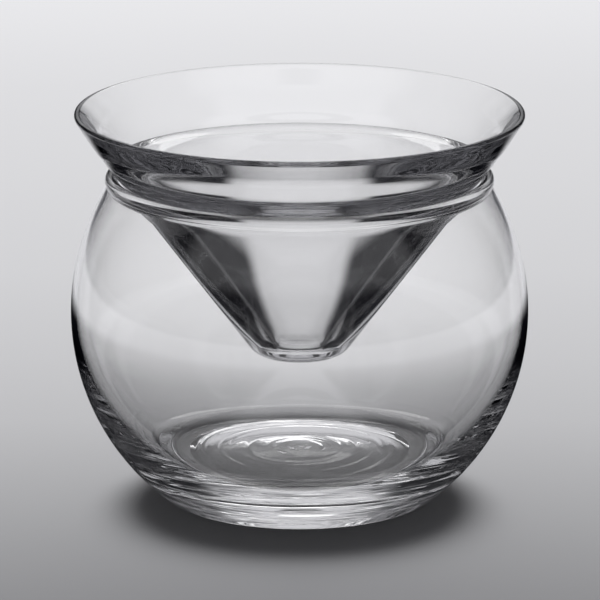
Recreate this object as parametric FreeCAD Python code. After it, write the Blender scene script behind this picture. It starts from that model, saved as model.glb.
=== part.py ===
import FreeCAD, Part
import math
import os

# Sizes in millimetres. Both pieces are turned about the upright axis from a half
# section in the XZ plane: x is the distance from the axis, z the height above the table.

# Chiller bowl, outside
belly_radius = 55.0          # widest half width of the bowl
belly_height = 45.4          # level of the belly above the table
side_curve = 56.6            # radius of the side's curve, a little flatter than a ball
foot_edge = 4.2              # rounding between the side and the table
foot_ring_width = 3.0        # flat ring that the bowl stands on
foot_hollow = 4.2            # rise of the domed underside inside that ring

# Chiller bowl, inside
side_wall = 1.3              # wall above the belly
base_thickness = 9.15        # inner floor above the table
corner_wall = 8.6            # glass beside the edge of the flat floor, at its level
floor_curve = 6.7            # fillet between the floor and the inner side

# Rolled bead around the bowl's mouth, flush with the inside of the wall
bead_rise = 32.6             # middle of the bead above the belly
bead_radius = 1.55           # half the bead's thickness
bead_neck = 0.8              # hollow fillet under the bead outside

# Cone liner, resting in the bead
cone_half_angle = math.radians(36.6)
cone_wall = 2.9              # wall at the lip, also the thickness of the fully rounded lip
lower_wall = 6.6             # wall of the lower part, thicker towards the inside
shoulder_start = 11.0        # along the inner side, from the lip to where the wall thickens
shoulder_length = 12.0       # along the inner side, over which it thickens
lip_ring_radius = 52.3       # axis to the middle of the lip
tip_flat = 7.5               # half width of the flat underside of the tip
tip_edge = 6.0               # rounding of the tip outside
tip_floor = 5.0              # glass under the inside of the tip
tip_hollow = 3.0             # rounding of the tip inside
seat_gap = 0.2               # between the cone's side and the bead


def point(x, z):
    return FreeCAD.Vector(x, 0, z)


def touch_point(centre, radius, towards):
    """Point of a circle in the direction of another point."""
    return centre + (towards - centre).normalize() * radius


def arc_between(centre, radius, start, end):
    """Shorter arc of a circle from start to end."""
    middle = ((start - centre) + (end - centre)).normalize() * radius + centre
    return Part.Arc(start, middle, end).toShape()


def circles_meet(centre_a, radius_a, centre_b, radius_b):
    """Lower one of the two points where two circles cross."""
    span = centre_b - centre_a
    distance = span.Length
    along = (distance ** 2 + radius_a ** 2 - radius_b ** 2) / (2 * distance)
    aside = math.sqrt(radius_a ** 2 - along ** 2)
    unit = span.normalize()
    halfway = centre_a + unit * along
    normal = point(-unit.z, unit.x)
    return min(halfway + normal * aside, halfway - normal * aside, key=lambda crossing: crossing.z)


def revolve(edges):
    wire = Part.Wire(edges)
    return Part.Face(wire).revolve(point(0, 0), FreeCAD.Vector(0, 0, 1), 360)


# Middles of the side's curve and of the bead in the half section
side_centre = point(belly_radius - side_curve, belly_height)
inner_curve = side_curve - side_wall
bead_reach = math.sqrt((inner_curve + bead_radius) ** 2 - bead_rise ** 2)
bead_centre = point(side_centre.x + bead_reach, belly_height + bead_rise)


def chiller_bowl():

    # Foot: flat ring, rounded into the side, with a domed underside inside it
    edge_reach = math.sqrt((side_curve - foot_edge) ** 2 - (belly_height - foot_edge) ** 2)
    edge_centre = point(side_centre.x + edge_reach, foot_edge)
    ring_outer = point(edge_centre.x, 0)
    ring_inner = point(ring_outer.x - foot_ring_width, 0)
    underside = point(0, foot_hollow)
    edge_top = touch_point(side_centre, side_curve, edge_centre)
    dome_radius = (ring_inner.x ** 2 + foot_hollow ** 2) / (2 * foot_hollow)
    dome_centre = point(0, foot_hollow - dome_radius)

    # Bead: a fillet touches the side from outside and the bead from below, and inside
    # the bead runs straight on from the wall
    neck_centre = circles_meet(side_centre, side_curve + bead_neck,
                               bead_centre, bead_radius + bead_neck)
    side_top = touch_point(side_centre, side_curve, neck_centre)
    bead_outer = touch_point(bead_centre, bead_radius, neck_centre)
    bead_inner = touch_point(side_centre, inner_curve, bead_centre)
    bead_crown = bead_centre + point(0, bead_radius)

    # Hollow below the belly: one curve that starts upright at the belly and touches the
    # floor's fillet; its middle lies level with the belly
    floor_reach = math.sqrt(side_curve ** 2 - (belly_height - base_thickness) ** 2)
    floor_radius = side_centre.x + floor_reach - corner_wall
    inner_belly = point(belly_radius - side_wall, belly_height)
    fillet_centre = point(floor_radius, base_thickness + floor_curve)
    drop = belly_height - fillet_centre.z
    reach = inner_belly.x - floor_curve
    hollow_middle = (reach + floor_radius - drop ** 2 / (reach - floor_radius)) / 2
    hollow_centre = point(hollow_middle, belly_height)
    hollow_curve = inner_belly.x - hollow_middle
    fillet_top = touch_point(hollow_centre, hollow_curve, fillet_centre)
    floor_edge = point(floor_radius, base_thickness)
    floor_middle = point(0, base_thickness)

    return revolve([
        arc_between(dome_centre, dome_radius, underside, ring_inner),
        Part.LineSegment(ring_inner, ring_outer).toShape(),
        arc_between(edge_centre, foot_edge, ring_outer, edge_top),
        arc_between(side_centre, side_curve, edge_top, side_top),
        arc_between(neck_centre, bead_neck, side_top, bead_outer),
        Part.Arc(bead_outer, bead_crown, bead_inner).toShape(),
        arc_between(side_centre, inner_curve, bead_inner, inner_belly),
        arc_between(hollow_centre, hollow_curve, inner_belly, fillet_top),
        arc_between(fillet_centre, floor_curve, fillet_top, floor_edge),
        Part.LineSegment(floor_edge, floor_middle).toShape(),
        Part.LineSegment(floor_middle, underside).toShape(),
    ])


def cone_liner():
    # Unit vectors up along the cone's side and square to it, away from the axis
    up_side = point(math.sin(cone_half_angle), math.cos(cone_half_angle))
    out_of_side = point(math.cos(cone_half_angle), -math.sin(cone_half_angle))
    slope = math.tan(cone_half_angle)

    # The bead carries the cone: its outer side passes the bead at the seat gap
    wall_middle = bead_centre - out_of_side * (bead_radius + seat_gap + cone_wall / 2)
    lip_centre = wall_middle + up_side * ((lip_ring_radius - wall_middle.x) / up_side.x)
    lip_outer = lip_centre + out_of_side * (cone_wall / 2)
    lip_inner = lip_centre - out_of_side * (cone_wall / 2)
    lip_crown = lip_centre + up_side * (cone_wall / 2)

    # Tip outside: flat underside and a round up into the side, which sets the cone's depth
    edge_x = tip_flat + tip_edge / math.cos(cone_half_angle)
    edge_level = lip_outer.z - (lip_outer.x - edge_x) / slope
    tip_height = edge_level - tip_edge
    edge_centre = point(tip_flat, edge_level)
    tip_outer = point(tip_flat, tip_height)
    side_foot = edge_centre + out_of_side * tip_edge

    # Inner side: parallel to the outer one below the lip, then over two opposite curves
    # in to the thicker lower wall, and parallel again
    thickening = lower_wall - cone_wall
    shoulder_turn = 2 * math.atan(thickening / shoulder_length)
    shoulder_curve = shoulder_length / (2 * math.sin(shoulder_turn))
    shoulder_top = lip_inner - up_side * shoulder_start
    shoulder_foot = shoulder_top - up_side * shoulder_length - out_of_side * thickening
    shoulder_middle = (shoulder_top + shoulder_foot) * 0.5
    upper_centre = shoulder_top - out_of_side * shoulder_curve
    lower_centre = shoulder_foot + out_of_side * shoulder_curve

    # Tip inside: flat floor and its own round
    floor_height = tip_height + tip_floor
    hollow_level = floor_height + tip_hollow
    side_x = shoulder_foot.x - (shoulder_foot.z - hollow_level) * slope
    hollow_x = side_x - tip_hollow / math.cos(cone_half_angle)
    hollow_centre = point(hollow_x, hollow_level)
    floor_edge = point(hollow_x, floor_height)
    hollow_top = hollow_centre + out_of_side * tip_hollow

    return revolve([
        Part.LineSegment(point(0, tip_height), tip_outer).toShape(),
        arc_between(edge_centre, tip_edge, tip_outer, side_foot),
        Part.LineSegment(side_foot, lip_outer).toShape(),
        Part.Arc(lip_outer, lip_crown, lip_inner).toShape(),
        Part.LineSegment(lip_inner, shoulder_top).toShape(),
        arc_between(upper_centre, shoulder_curve, shoulder_top, shoulder_middle),
        arc_between(lower_centre, shoulder_curve, shoulder_middle, shoulder_foot),
        Part.LineSegment(shoulder_foot, hollow_top).toShape(),
        arc_between(hollow_centre, tip_hollow, hollow_top, floor_edge),
        Part.LineSegment(floor_edge, point(0, floor_height)).toShape(),
        Part.LineSegment(point(0, floor_height), point(0, tip_height)).toShape(),
    ])


os.makedirs("parts", exist_ok=True)
chiller_bowl().exportStep("parts/chiller_bowl.step")
cone_liner().exportStep("parts/cone_liner.step")
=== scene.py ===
import math

import bpy
import numpy as np
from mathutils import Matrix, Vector


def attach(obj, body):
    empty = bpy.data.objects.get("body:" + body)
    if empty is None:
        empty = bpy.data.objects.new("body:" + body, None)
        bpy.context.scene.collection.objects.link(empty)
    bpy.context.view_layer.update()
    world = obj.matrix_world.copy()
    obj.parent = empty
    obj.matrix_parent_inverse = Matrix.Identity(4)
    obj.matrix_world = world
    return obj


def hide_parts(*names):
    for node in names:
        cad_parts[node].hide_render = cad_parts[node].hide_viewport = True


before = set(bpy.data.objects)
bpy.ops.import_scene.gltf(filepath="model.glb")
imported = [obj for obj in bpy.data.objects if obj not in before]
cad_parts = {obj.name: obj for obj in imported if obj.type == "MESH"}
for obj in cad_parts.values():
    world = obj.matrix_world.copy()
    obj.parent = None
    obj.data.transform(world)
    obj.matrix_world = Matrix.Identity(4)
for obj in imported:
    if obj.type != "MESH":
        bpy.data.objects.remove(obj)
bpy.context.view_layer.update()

MM = 0.001

# Chiller bowl, outside
belly_radius = 55.0 * MM
belly_height = 45.4 * MM
side_curve = 56.6 * MM
foot_edge = 4.2 * MM
foot_ring_width = 3.0 * MM
foot_hollow = 4.2 * MM
foot_ring_round = 0.3 * MM

# Chiller bowl, inside
side_wall = 1.3 * MM
base_thickness = 9.15 * MM
corner_wall = 8.6 * MM
floor_curve = 6.7 * MM

# Rolled bead, flush with the inside of the wall
bead_rise = 32.6 * MM
bead_radius = 1.55 * MM
bead_neck = 0.8 * MM

# Cone liner
cone_half_angle = math.radians(36.6)
cone_wall = 2.9 * MM
lip_round = 0.8 * MM         # half thickness of the lip, which the wall tapers to
lip_taper = 6.0 * MM
lip_ring_radius = 52.3 * MM
tip_flat = 7.5 * MM
tip_edge = 6.0 * MM
cone_lower_wall = 6.6 * MM
shoulder_start = 11.0 * MM
shoulder_length = 12.0 * MM
tip_floor = 5.0 * MM
tip_hollow = 3.0 * MM
seat_gap = 0.2 * MM

# Meshes
turn_steps = 240
smooth_step = 1.5 * MM
fine_step = 0.4 * MM
ripple_step = 0.3 * MM
fillet_step = 0.2 * MM
edge_step = 0.15 * MM
roll_step = 0.1 * MM

# Ripples of the pressed glass: faint arcs on the underside and the lower side
ripple_level = 13.0 * MM
underside_ripple = 0.16 * MM
underside_count = 46
side_ripple = 0.05 * MM
side_count = 60
ripple_margin = 1 * MM
ring_margin = 9 * MM
ripple_seed = 7
ripple_widths = (0.4, 0.9)
ripple_spreads = (0.5, 1.6)
ripple_drift = 0.4 * MM

# Glass, whose absorption shows only along the long ways inside its walls
glass_index = 1.52
glass_grey = 150
glass_cool = 6
bowl_density = 4.0
cone_density = 13.0

# Light passes the glass above this level, or outside this radius, and the base keeps its shadow
clear_level = (0.014, 0.022)
clear_radius = (0.038, 0.047)

# How much bluer than grey the dark, the pale and the plain parts of the studio are
dark_cool = 4
pale_cool = 3
plain_cool = 2

# Greys of the table by distance behind the axis: as it is seen, and as glass shows it. Both paint the
# light's falloff, darker in front and lighter far behind, and the second also paints the object's shadow
# under and just in front of the base
table_size = 8
table_drop = 0.05 * MM
table_painted_falloff_greys = [(-0.084, 145), (-0.04, 160), (0.009, 176), (0.06, 191), (0.12, 200), (0.21, 210),
               (0.32, 216), (0.45, 222), (0.6, 233)]
glass_table_painted_shade_greys = [(-0.06, 150), (-0.03, 70), (-0.01, 95), (0.02, 150), (0.04, 165), (0.07, 182),
                     (0.1, 209), (0.15, 230), (0.21, 237), (0.4, 238)]

# Table as rays turned back in the glass see it: a painted pool of light near the object, painted shade far
# off, and a painted dark reflection to the sides, as if a black card stood on each side, though the scene
# has none
painted_pool_grey = 214
painted_far_grey = 85
painted_pool_reach = (0.55, 0.8)
painted_side_grey = 22
painted_back_side_grey = 8
painted_side_start = (0.03, 0.042)
painted_side_reach = (0.26, 0.19)
painted_back_side_bearing = (27, 36)
many_walls = (4.4, 4.6)

# Studio as the same rays see it: greys below and above each rise in degrees of elevation
front_greys, front_rise = (50, 190), (16, 26)
side_greys, side_rise = (18, 225), (52, 66)
back_greys, back_rise = (70, 240), (6, 18)
top_grey, top_rise = 240, (60, 72)
hoop_grey, hoop_foot, hoop_head = 12, (72, 74), (79, 81)
front_bearing = (105, 118)
back_bearing = (20, 33)
softbox_light = 2.5
softbox_foot, softbox_head = (30, 32), (44, 46)
softbox_side = (0.5, 0.42)
softbox_front = (0, 0.05)

# World to every other ray, and the light that it gives the table
open_grey = 238
room_grey = 105

# Lamp behind the object, in degrees, and its strength
lamp_elevation = 47
lamp_softness = 38
lamp_strength = 3.65

# Camera
camera_elevation = math.radians(14.95)
camera_distance = 1.22
camera_target = Vector((0.0001, 0, 0.0479))
camera_lens = 304.2
sensor_width = 36
clip_end = 100
light_bounces = 32


def tone(value, coolness=0.0):
    """Linear colour of an 8-bit grey, a little cool where coolness is above nothing."""
    def linear(v):
        v /= 255
        return v / 12.92 if v <= 0.04045 else ((v + 0.055) / 1.055) ** 2.4
    return (linear(value), linear(value), linear(value + coolness), 1)


def touch_point(centre, radius, towards):
    return centre + (towards - centre).normalized() * radius


def circles_meet(centre_a, radius_a, centre_b, radius_b):
    """Lower one of the two points where two circles cross."""
    span = centre_b - centre_a
    along = (span.length ** 2 + radius_a ** 2 - radius_b ** 2) / (2 * span.length)
    aside = math.sqrt(radius_a ** 2 - along ** 2)
    unit = span.normalized()
    normal = Vector((-unit.y, unit.x))
    halfway = centre_a + unit * along
    return min(halfway + normal * aside, halfway - normal * aside, key=lambda crossing: crossing.y)


def line(start, end, step):
    count = max(1, math.ceil((end - start).length / step))
    return [start.lerp(end, i / count) for i in range(1, count + 1)]


def arc(centre, start, end, step, long_way=False):
    """Points after start along a circle, the shorter way round unless told otherwise."""
    first = math.atan2(start.y - centre.y, start.x - centre.x)
    sweep = math.atan2(end.y - centre.y, end.x - centre.x) - first
    sweep = (sweep + math.pi) % (2 * math.pi) - math.pi
    if long_way:
        sweep -= math.copysign(2 * math.pi, sweep)
    radius = (start - centre).length
    count = max(6, math.ceil(abs(sweep) * radius / step))
    turns = [first + sweep * i / count for i in range(1, count + 1)]
    return [centre + Vector((math.cos(a), math.sin(a))) * radius for a in turns]


def bowl_outline():
    """Half section of the bowl from the middle of the underside round to the middle of the floor."""
    side_centre = Vector((belly_radius - side_curve, belly_height))
    inner_curve = side_curve - side_wall
    bead_reach = math.sqrt((inner_curve + bead_radius) ** 2 - bead_rise ** 2)
    bead_centre = Vector((side_centre.x + bead_reach, belly_height + bead_rise))

    edge_reach = math.sqrt((side_curve - foot_edge) ** 2 - (belly_height - foot_edge) ** 2)
    edge_centre = Vector((side_centre.x + edge_reach, foot_edge))
    ring_outer = Vector((edge_centre.x, 0))
    ring_inner = Vector((ring_outer.x - foot_ring_width, 0))
    edge_top = touch_point(side_centre, side_curve, edge_centre)
    dome_radius = (ring_inner.x ** 2 + foot_hollow ** 2) / (2 * foot_hollow)
    dome_centre = Vector((0, foot_hollow - dome_radius))
    round_reach = math.sqrt((dome_radius + foot_ring_round) ** 2 - (foot_ring_round - dome_centre.y) ** 2)
    round_centre = Vector((round_reach, foot_ring_round))
    dome_foot = touch_point(dome_centre, dome_radius, round_centre)

    neck_centre = circles_meet(side_centre, side_curve + bead_neck, bead_centre, bead_radius + bead_neck)
    side_top = touch_point(side_centre, side_curve, neck_centre)
    bead_outer = touch_point(bead_centre, bead_radius, neck_centre)
    bead_inner = touch_point(side_centre, inner_curve, bead_centre)

    floor_radius = (side_centre.x + math.sqrt(side_curve ** 2 - (belly_height - base_thickness) ** 2)
                    - corner_wall)
    inner_belly = Vector((belly_radius - side_wall, belly_height))
    fillet_centre = Vector((floor_radius, base_thickness + floor_curve))
    drop = belly_height - fillet_centre.y
    reach = inner_belly.x - floor_curve
    hollow_middle = (reach + floor_radius - drop ** 2 / (reach - floor_radius)) / 2
    hollow_centre = Vector((hollow_middle, belly_height))
    fillet_top = touch_point(hollow_centre, inner_belly.x - hollow_middle, fillet_centre)
    floor_edge = Vector((floor_radius, base_thickness))

    outline = [Vector((0, foot_hollow))]
    outline += arc(dome_centre, outline[0], dome_foot, ripple_step)
    outline += arc(round_centre, dome_foot, Vector((round_centre.x, 0)), roll_step)
    outline += line(outline[-1], ring_outer, smooth_step)
    outline += arc(edge_centre, ring_outer, edge_top, edge_step)
    ripple_reach = math.sqrt(side_curve ** 2 - (belly_height - ripple_level) ** 2)
    ripple_top = Vector((side_centre.x + ripple_reach, ripple_level))
    outline += arc(side_centre, edge_top, ripple_top, ripple_step)
    outline += arc(side_centre, ripple_top, side_top, smooth_step)
    outline += arc(neck_centre, side_top, bead_outer, fillet_step)
    outline += arc(bead_centre, bead_outer, bead_inner, roll_step, long_way=True)
    outline += arc(side_centre, bead_inner, inner_belly, smooth_step)
    outline += arc(hollow_centre, inner_belly, fillet_top, smooth_step)
    outline += arc(fillet_centre, fillet_top, floor_edge, fillet_step)
    outline += line(floor_edge, Vector((0, base_thickness)), smooth_step)
    return outline


def cone_outline():
    """Half section of the cone from the middle of its underside round to the middle of its floor."""
    up_side = Vector((math.sin(cone_half_angle), math.cos(cone_half_angle)))
    out_of_side = Vector((math.cos(cone_half_angle), -math.sin(cone_half_angle)))
    slope = math.tan(cone_half_angle)

    side_centre = Vector((belly_radius - side_curve, belly_height))
    bead_reach = math.sqrt((side_curve - side_wall + bead_radius) ** 2 - bead_rise ** 2)
    bead_centre = Vector((side_centre.x + bead_reach, belly_height + bead_rise))
    wall_middle = bead_centre - out_of_side * (bead_radius + seat_gap + cone_wall / 2)
    lip_centre = wall_middle + up_side * ((lip_ring_radius - wall_middle.x) / up_side.x)
    lip_outer = lip_centre + out_of_side * (cone_wall / 2)
    lip_inner = lip_centre - out_of_side * (cone_wall / 2)
    round_centre = lip_centre + Vector((1, 1)) * (cone_wall / 2 - lip_round)
    round_outer = round_centre + out_of_side * lip_round
    round_inner = round_centre - out_of_side * lip_round
    round_crown = round_centre + up_side * lip_round

    edge_x = tip_flat + tip_edge / math.cos(cone_half_angle)
    edge_level = lip_outer.y - (lip_outer.x - edge_x) / slope
    tip_height = edge_level - tip_edge
    edge_centre = Vector((tip_flat, edge_level))
    side_foot = edge_centre + out_of_side * tip_edge

    thickening = cone_lower_wall - cone_wall
    shoulder_turn = 2 * math.atan(thickening / shoulder_length)
    shoulder_curve = shoulder_length / (2 * math.sin(shoulder_turn))
    shoulder_top = lip_inner - up_side * shoulder_start
    shoulder_foot = shoulder_top - up_side * shoulder_length - out_of_side * thickening
    shoulder_middle = shoulder_top.lerp(shoulder_foot, 0.5)
    upper_centre = shoulder_top - out_of_side * shoulder_curve
    lower_centre = shoulder_foot + out_of_side * shoulder_curve

    floor_height = tip_height + tip_floor
    hollow_level = floor_height + tip_hollow
    hollow_x = (shoulder_foot.x - (shoulder_foot.y - hollow_level) * slope
                - tip_hollow / math.cos(cone_half_angle))
    hollow_centre = Vector((hollow_x, hollow_level))
    hollow_top = hollow_centre + out_of_side * tip_hollow

    outline = [Vector((0, tip_height))]
    outline += line(outline[0], Vector((tip_flat, tip_height)), smooth_step)
    outline += arc(edge_centre, outline[-1], side_foot, fine_step)
    outline += line(side_foot, lip_outer - up_side * lip_taper, smooth_step)
    outline += line(outline[-1], round_outer, smooth_step)
    outline += arc(round_centre, round_outer, round_crown, roll_step)
    outline += arc(round_centre, round_crown, round_inner, roll_step)
    outline += line(round_inner, lip_inner - up_side * lip_taper, smooth_step)
    outline += line(outline[-1], shoulder_top, smooth_step)
    outline += arc(upper_centre, shoulder_top, shoulder_middle, fine_step)
    outline += arc(lower_centre, shoulder_middle, shoulder_foot, fine_step)
    outline += line(shoulder_foot, hollow_top, smooth_step)
    outline += arc(hollow_centre, hollow_top, Vector((hollow_x, floor_height)), fine_step)
    outline += line(outline[-1], Vector((0, floor_height)), smooth_step)
    return outline


def ripple_arcs(chance, along, angles, start, end, count, height):
    """Shallow ridges and grooves that each follow a part of a circle about the axis."""
    depth = np.zeros((len(along), len(angles)))
    for _ in range(count):
        middle = chance.uniform(start, end)
        width = chance.uniform(*ripple_widths) * MM
        towards = chance.uniform(0, 2 * math.pi)
        spread = chance.uniform(*ripple_spreads)
        turn = (angles - towards + math.pi) % (2 * math.pi) - math.pi
        fade = np.where(abs(turn) < spread, 0.5 + 0.5 * np.cos(math.pi * turn / spread), 0)
        ridge = np.exp(-((along - middle - ripple_drift * np.sin(towards)) / width) ** 2)
        depth += chance.uniform(-1, 1) * height * ridge[:, None] * fade
    return depth


def bowl_ripples(outline, angles):
    """How far the bowl's surface lies inside its smooth outline, by outline point and angle."""
    chance = np.random.default_rng(ripple_seed)
    along = np.cumsum([0] + [(b - a).length for a, b in zip(outline, outline[1:])])[1:-1]
    lengths = {"foot": 0.0, "top": 0.0}
    for point, length in zip(outline[1:-1], along):
        if point.y <= foot_edge / 2 and not lengths["top"] and point.x > belly_radius / 2:
            lengths["foot"] = length
        if point.y >= ripple_level and not lengths["top"]:
            lengths["top"] = length
    foot, top = lengths["foot"], lengths["top"]
    under = ripple_arcs(chance, along, angles, ripple_margin, foot - ring_margin,
                        underside_count, underside_ripple)
    side = ripple_arcs(chance, along, angles, foot + ripple_margin, top - ripple_margin,
                       side_count, side_ripple)
    return under + side


def lathe(name, outline, ripples=None):
    """Closed mesh from a half section that starts and ends on the axis."""
    ring_points = outline[1:-1]
    angles = np.arange(turn_steps) * (2 * math.pi / turn_steps)
    radii = np.array([p.x for p in ring_points])[:, None]
    heights = np.array([p.y for p in ring_points])[:, None]
    if ripples:
        depth = ripples(outline, angles)
        ahead = np.array([(b - a).normalized()[:] for a, b in zip(outline, outline[2:])])
        radii = radii - depth * ahead[:, 1:]
        heights = heights + depth * ahead[:, :1]
    shape = (len(ring_points), turn_steps)
    vertices = np.stack([
        radii * np.cos(angles),
        radii * np.sin(angles),
        np.broadcast_to(heights, shape),
    ], axis=2).reshape(-1, 3)
    vertices = [(0, 0, outline[0].y), (0, 0, outline[-1].y)] + [tuple(v) for v in vertices]

    def corner(row, step):
        return 2 + row * turn_steps + step % turn_steps

    faces = [(0, corner(0, i + 1), corner(0, i)) for i in range(turn_steps)]
    for row in range(len(ring_points) - 1):
        faces += [(corner(row, i), corner(row, i + 1), corner(row + 1, i + 1), corner(row + 1, i))
                  for i in range(turn_steps)]
    last = len(ring_points) - 1
    faces += [(1, corner(last, i), corner(last, i + 1)) for i in range(turn_steps)]
    mesh = bpy.data.meshes.new(name)
    mesh.from_pydata(vertices, [], faces)
    mesh.shade_smooth()
    mesh.validate()
    piece = bpy.data.objects.new(name, mesh)
    bpy.context.collection.objects.link(piece)
    return piece


class Nodes:
    """Short ways to add and link shader nodes in one tree."""

    def __init__(self, tree):
        self.nodes, self.links = tree.nodes, tree.links

    def feed(self, socket, value):
        if isinstance(value, bpy.types.NodeSocket):
            self.links.new(value, socket)
        else:
            socket.default_value = value

    def maths(self, operation, a, b=0.0):
        node = self.nodes.new("ShaderNodeMath")
        node.operation = operation
        self.feed(node.inputs[0], a)
        self.feed(node.inputs[1], b)
        return node.outputs[0]

    def step(self, value, low, high):
        """Smooth rise from 0 at low to 1 at high."""
        node = self.nodes.new("ShaderNodeMapRange")
        node.interpolation_type = "SMOOTHSTEP"
        self.feed(node.inputs["Value"], value)
        node.inputs["From Min"].default_value = low
        node.inputs["From Max"].default_value = high
        return node.outputs["Result"]

    def blend(self, factor, a, b):
        node = self.nodes.new("ShaderNodeMix")
        node.data_type = "RGBA"
        self.feed(node.inputs["Factor"], factor)
        self.feed(node.inputs[6], a)
        self.feed(node.inputs[7], b)
        return node.outputs[2]

    def ramp(self, value, stops):
        """Greys by value, with one stop for each pair of value and 8-bit grey."""
        low, high = stops[0][0], stops[-1][0]
        span = self.nodes.new("ShaderNodeMapRange")
        self.feed(span.inputs["Value"], value)
        span.inputs["From Min"].default_value = low
        span.inputs["From Max"].default_value = high
        node = self.nodes.new("ShaderNodeValToRGB")
        elements = node.color_ramp.elements
        while len(elements) < len(stops):
            elements.new(1.0)
        for element, (place, grey) in zip(elements, stops):
            element.position = (place - low) / (high - low)
            element.color = tone(grey, plain_cool)
        self.links.new(span.outputs["Result"], node.inputs["Fac"])
        return node.outputs["Color"]


def glass(name, density):
    material = bpy.data.materials.new(name)
    material.use_nodes = True
    shader = material.node_tree.nodes["Principled BSDF"]
    shader.inputs["Base Color"].default_value = (1, 1, 1, 1)
    shader.inputs["Roughness"].default_value = 0
    shader.inputs["IOR"].default_value = glass_index
    shader.inputs["Transmission Weight"].default_value = 1

    # Light reaches the table through the thin walls, and the solid base keeps its shadow
    tree = Nodes(material.node_tree)
    place = tree.nodes.new("ShaderNodeNewGeometry")
    split = tree.nodes.new("ShaderNodeSeparateXYZ")
    tree.links.new(place.outputs["Position"], split.inputs["Vector"])
    path = tree.nodes.new("ShaderNodeLightPath")
    x, y, z = split.outputs
    reach = tree.maths("SQRT", tree.maths("ADD", tree.maths("MULTIPLY", x, x), tree.maths("MULTIPLY", y, y)))
    thin = tree.maths("MAXIMUM", tree.step(z, *clear_level), tree.step(reach, *clear_radius))
    clear = tree.maths("MULTIPLY", path.outputs["Is Shadow Ray"], thin)
    see_through = tree.nodes.new("ShaderNodeBsdfTransparent")
    mix = tree.nodes.new("ShaderNodeMixShader")
    tree.links.new(clear, mix.inputs[0])
    tree.links.new(shader.outputs[0], mix.inputs[1])
    tree.links.new(see_through.outputs[0], mix.inputs[2])
    surface = tree.nodes["Material Output"]
    tree.links.new(mix.outputs[0], surface.inputs["Surface"])
    absorb = tree.nodes.new("ShaderNodeVolumeAbsorption")
    absorb.inputs["Color"].default_value = tone(glass_grey, glass_cool)
    absorb.inputs["Density"].default_value = density
    tree.links.new(absorb.outputs[0], surface.inputs["Volume"])
    return material


def add_piece(name, outline, node, slot, density, ripples=None):
    piece = lathe(name, outline, ripples)
    piece.data.materials.append(glass(slot, density))
    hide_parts(node)
    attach(piece, "root")
    return piece


def table():
    """Floor painted from a darker grey in front to a light grey far behind, a painted falloff of the light.

    Rays turned back inside the glass see it painted dark to the sides, a painted dark reflection as if a
    black card stood on each side, though the scene has none.
    """
    bpy.ops.mesh.primitive_plane_add(size=table_size, location=(0, 0, -table_drop))
    floor = bpy.context.object
    floor.name = "table"
    material = bpy.data.materials.new("table")
    material.use_nodes = True
    tree = Nodes(material.node_tree)
    place = tree.nodes.new("ShaderNodeNewGeometry")
    split = tree.nodes.new("ShaderNodeSeparateXYZ")
    tree.links.new(place.outputs["Position"], split.inputs["Vector"])
    x, y, _ = split.outputs
    path = tree.nodes.new("ShaderNodeLightPath")
    # Painted falloff of the light: darker in front, lighter behind; through the glass also a painted shadow
    # under and just in front of the base
    seen = tree.ramp(y, table_painted_falloff_greys)
    through = tree.ramp(y, glass_table_painted_shade_greys)
    across = tree.maths("ABSOLUTE", x)
    reach = tree.maths("SQRT", tree.maths("ADD", tree.maths("MULTIPLY", x, x), tree.maths("MULTIPLY", y, y)))
    facing = tree.maths("DIVIDE", y, tree.maths("MAXIMUM", reach, 0.001))
    aside = tree.step(across, *painted_side_start)
    square = tree.step(facing, *[math.cos(math.radians(bearing)) for bearing in painted_back_side_bearing])
    near = tree.step(reach, *painted_side_reach)
    turned = tree.step(path.outputs["Glossy Depth"], 0.4, 0.6)
    deep = tree.step(path.outputs["Transmission Depth"], *many_walls)
    bent = tree.maths("MULTIPLY", tree.maths("MAXIMUM", turned, deep), tree.maths("MULTIPLY", aside, near))
    colour = tree.blend(path.outputs["Is Transmission Ray"], seen, through)
    # Painted pool of light: rays turned back in the glass see the table painted pale near the object and
    # painted dark far off
    lit = tree.blend(tree.step(reach, *painted_pool_reach), tone(painted_pool_grey, pale_cool), tone(painted_far_grey, dark_cool))
    colour = tree.blend(turned, colour, lit)
    # Painted dark reflection: rays turned back in the glass, or through many walls, see the table painted
    # near black to the sides of the object
    painted_side_shade = tree.blend(square, tone(painted_side_grey, dark_cool), tone(painted_back_side_grey, dark_cool))
    colour = tree.blend(bent, colour, painted_side_shade)
    shader = tree.nodes["Principled BSDF"]
    shader.inputs["Roughness"].default_value = 1
    shader.inputs["Specular IOR Level"].default_value = 0
    tree.links.new(colour, shader.inputs["Base Color"])
    floor.data.materials.append(material)


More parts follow.
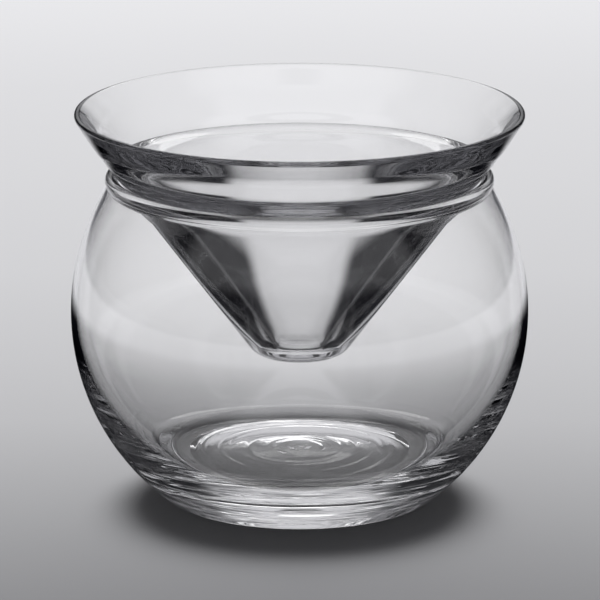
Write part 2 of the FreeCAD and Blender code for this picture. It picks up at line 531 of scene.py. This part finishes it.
def studio():
    """World: pale to the camera, even and dim to the table, and to rays turned back in the
    glass bright behind and overhead with dark sides."""
    world = bpy.data.worlds.new("studio")
    bpy.context.scene.world = world
    world.use_nodes = True
    tree = Nodes(world.node_tree)
    place = tree.nodes.new("ShaderNodeTexCoord")
    split = tree.nodes.new("ShaderNodeSeparateXYZ")
    tree.links.new(place.outputs["Generated"], split.inputs["Vector"])
    path = tree.nodes.new("ShaderNodeLightPath")
    x, y, z = split.outputs

    flat = tree.maths("SQRT", tree.maths("ADD", tree.maths("MULTIPLY", x, x), tree.maths("MULTIPLY", y, y)))
    facing = tree.maths("DIVIDE", y, tree.maths("MAXIMUM", flat, 0.001))

    def within(inner, outer):
        """1 where the direction lies nearer to straight behind than the inner angle."""
        return tree.step(facing, math.cos(math.radians(outer)), math.cos(math.radians(inner)))

    def above(low, high):
        return tree.step(z, math.sin(math.radians(low)), math.sin(math.radians(high)))

    def wall(rise, greys):
        return tree.blend(above(*rise), tone(greys[0], dark_cool), tone(greys[1], pale_cool))

    front = wall(front_rise, front_greys)
    sides = wall(side_rise, side_greys)
    turned = tree.blend(within(*front_bearing), front, sides)
    behind = wall(back_rise, back_greys)
    turned = tree.blend(within(*back_bearing), turned, behind)
    turned = tree.blend(above(*top_rise), turned, tone(top_grey, pale_cool))
    hoop = tree.maths("SUBTRACT", above(*hoop_foot), above(*hoop_head))
    turned = tree.blend(hoop, turned, tone(hoop_grey, dark_cool))
    lighting = tree.step(path.outputs["Diffuse Depth"], 0.4, 0.6)
    side = tree.maths("ABSOLUTE", tree.maths("DIVIDE", x, tree.maths("MAXIMUM", flat, 0.001)))
    softbox = tree.maths("SUBTRACT", above(*softbox_foot), above(*softbox_head))
    softbox = tree.maths("MULTIPLY", softbox, tree.step(side, *softbox_side))
    softbox = tree.maths("MULTIPLY", softbox, tree.step(y, *softbox_front))
    turned = tree.blend(softbox, turned, (softbox_light, softbox_light, softbox_light, 1))
    inside = tree.step(path.outputs["Glossy Depth"], 0.4, 0.6)
    turned = tree.blend(inside, tone(open_grey, plain_cool), turned)
    sky = tree.blend(lighting, turned, tone(room_grey, plain_cool))
    tree.links.new(sky, tree.nodes["Background"].inputs["Color"])


def lamp(name, elevation, softness, strength):
    """Even light from behind, high enough that the shadow stays short."""
    data = bpy.data.lights.new(name, "SUN")
    data.angle = math.radians(softness)
    data.energy = strength
    piece = bpy.data.objects.new(name, data)
    piece.rotation_euler = (math.radians(elevation - 90), 0, 0)
    piece.visible_glossy = False
    piece.visible_transmission = False
    bpy.context.collection.objects.link(piece)


def camera():
    data = bpy.data.cameras.new("camera")
    data.lens = camera_lens
    data.sensor_width = sensor_width
    data.clip_end = clip_end
    eye = bpy.data.objects.new("camera", data)
    back = Vector((0, -math.cos(camera_elevation), math.sin(camera_elevation)))
    eye.location = camera_target + back * camera_distance
    eye.rotation_euler = (math.pi / 2 - camera_elevation, 0, 0)
    bpy.context.collection.objects.link(eye)
    bpy.context.scene.camera = eye


add_piece("bowl_of_clear_glass", bowl_outline(), "chiller_bowl", "bowl_glass", bowl_density, bowl_ripples)
add_piece("cone_of_clear_glass", cone_outline(), "cone_liner", "liner_glass", cone_density)
table()
studio()
lamp("from_behind", lamp_elevation, lamp_softness, lamp_strength)
camera()

scene = bpy.context.scene
scene.view_settings.view_transform = "Standard"
scene.cycles.max_bounces = light_bounces
scene.cycles.transmission_bounces = light_bounces
scene.cycles.glossy_bounces = light_bounces
